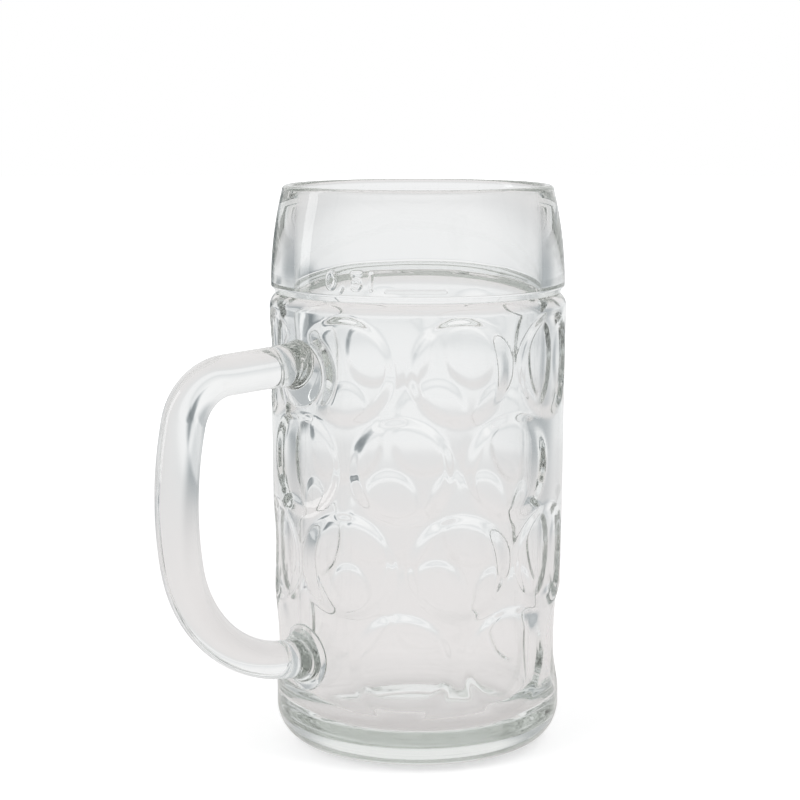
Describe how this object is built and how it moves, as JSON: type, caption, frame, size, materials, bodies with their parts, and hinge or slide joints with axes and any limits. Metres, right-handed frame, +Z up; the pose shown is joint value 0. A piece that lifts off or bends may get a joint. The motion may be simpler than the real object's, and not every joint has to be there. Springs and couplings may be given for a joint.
{
  "type": "dimpled glass beer mug",
  "caption": "Half-litre beer mug of clear pressed glass: a thick cylindrical vessel with staggered rows of round dimples, a smooth drinking band and a fused oval-section handle.",
  "frame": {"origin": "centre of the base, on the plane of the ring that the mug stands on", "axes": "+Z up along the vessel's axis; the handle lies along -X; Y is across the handle"},
  "size_m": [0.1323, 0.086, 0.163],
  "materials": {
    "clear_glass": "fire-polished clear soda-lime glass with a faint green tint in thick sections",
    "handle_glass": "fire-polished clear soda-lime glass with a faint green tint in thick sections"
  },
  "bodies": {
    "root": {"vessel": "clear_glass", "handle": "handle_glass"}
  },
  "joints": []
}
